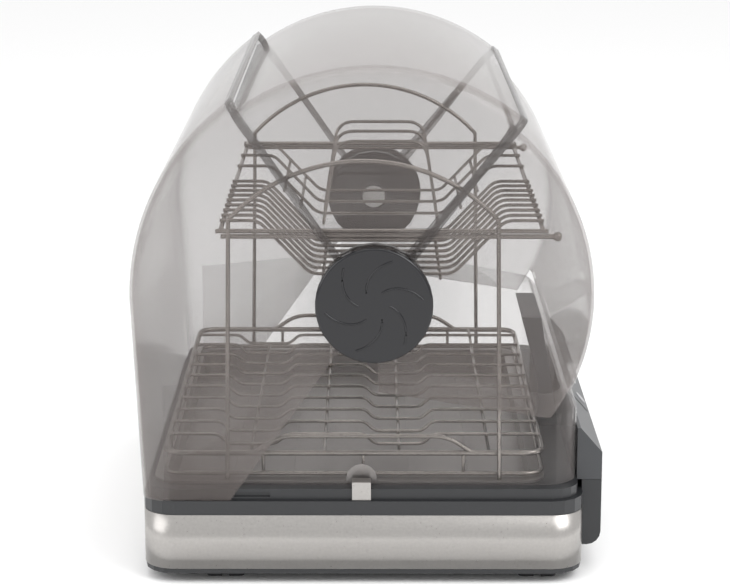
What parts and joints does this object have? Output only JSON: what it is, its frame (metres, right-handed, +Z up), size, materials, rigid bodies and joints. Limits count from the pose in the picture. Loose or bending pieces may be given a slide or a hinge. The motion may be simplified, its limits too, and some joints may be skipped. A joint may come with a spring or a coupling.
{
  "type": "dish sterilizer cabinet",
  "caption": "Counter-top dish dryer and sterilizer with nested smoky clear covers that roll back on a hub, wire racks, a drip tray, a front console and a blower in its base",
  "frame": {"origin": "middle of the footprint, at the height of the surface that the feet stand on", "axes": "+X along the length, from the near end to the far end; the console faces -Y; +Z up"},
  "size_m": [0.524, 0.4028, 0.4422],
  "materials": {
    "aluminium": "plain aluminium",
    "board_green": "green circuit board",
    "brushed_steel": "brushed stainless steel",
    "button_grey": "grey button",
    "charcoal": "charcoal moulding",
    "chrome": "bright chromed wire",
    "clear_guard": "clear moulded plastic",
    "console_grey": "dark grey moulding",
    "dark_rubber": "black rubber",
    "gloss_black": "glossy black moulding",
    "lamp_glass": "clear lamp tube",
    "pin_steel": "machined steel",
    "smoky_clear": "smoky clear moulded plastic",
    "window_glass": "dark tinted window"
  },
  "bodies": {
    "base": {"foot_1": "dark_rubber", "foot_2": "dark_rubber", "foot_3": "dark_rubber", "foot_4": "dark_rubber", "cord_gland": "dark_rubber", "base_screw_1": "pin_steel", "base_screw_2": "pin_steel", "base_screw_3": "pin_steel", "base_screw_4": "pin_steel", "near_hub_pin": "pin_steel", "near_hub_washer": "pin_steel", "far_hub_pin": "pin_steel", "far_hub_washer": "pin_steel", "bottom_pan": "charcoal", "base_rim": "charcoal", "console_lower": "charcoal", "air_duct": "charcoal", "air_elbow": "charcoal", "fan_housing": "charcoal", "near_hub_retainer": "charcoal", "far_hub_retainer": "charcoal", "stainless_skirt": "brushed_steel", "near_guard_clip": "brushed_steel", "far_guard_clip": "brushed_steel", "fan_motor": "brushed_steel", "console_upper": "console_grey", "control_panel": "console_grey", "duct_grille": "console_grey", "indicator_window": "window_glass", "control_board": "board_green", "sterilizer_lamp": "lamp_glass", "heater_block": "aluminium", "rear_cover": "smoky_clear", "front_guard": "clear_guard", "near_hub_cap": "gloss_black", "far_hub_cap": "gloss_black"},
    "drip_tray": {"drip_tray": "brushed_steel", "near_arch": "chrome", "far_arch": "chrome"},
    "lower_rack": {"lower_rack": "chrome"},
    "upper_rack": {"upper_rack": "chrome"},
    "middle_cover": {"middle_cover": "smoky_clear"},
    "front_cover": {"front_cover": "smoky_clear"},
    "power_button": {"power_button": "button_grey"},
    "timer_button": {"timer_button": "button_grey"},
    "fan_impeller": {"fan_impeller": "charcoal"}
  },
  "joints": [
    {"name": "middle_cover_hinge", "type": "hinge", "parent": "base", "child": "middle_cover", "pos_m": [0, -0.00465, 0.246], "axis": [-1, 0, 0], "range_deg": [0, 72]},
    {"name": "front_cover_hinge", "type": "hinge", "parent": "base", "child": "front_cover", "pos_m": [0, -0.00465, 0.246], "axis": [-1, 0, 0], "range_deg": [0, 145]},
    {"name": "drip_tray_lift", "type": "slide", "parent": "base", "child": "drip_tray", "axis": [0, 0, 1], "range_m": [0, 0.012]},
    {"name": "lower_rack_lift", "type": "slide", "parent": "drip_tray", "child": "lower_rack", "axis": [0, 0, 1], "range_m": [0, 0.01]},
    {"name": "upper_rack_lift", "type": "slide", "parent": "drip_tray", "child": "upper_rack", "axis": [0, 0, 1], "range_m": [0, 0.03]},
    {"name": "power_button_press", "type": "slide", "parent": "base", "child": "power_button", "axis": [0, 0.7545, -0.6563], "range_m": [0, 0.0008], "stiffness_N_per_m": 400},
    {"name": "timer_button_press", "type": "slide", "parent": "base", "child": "timer_button", "axis": [0, 0.7545, -0.6563], "range_m": [0, 0.0008], "stiffness_N_per_m": 400},
    {"name": "fan_spin", "type": "hinge", "parent": "base", "child": "fan_impeller", "pos_m": [0, -0.03095, 0.061], "axis": [0, 0, 1], "continuous": true}
  ]
}
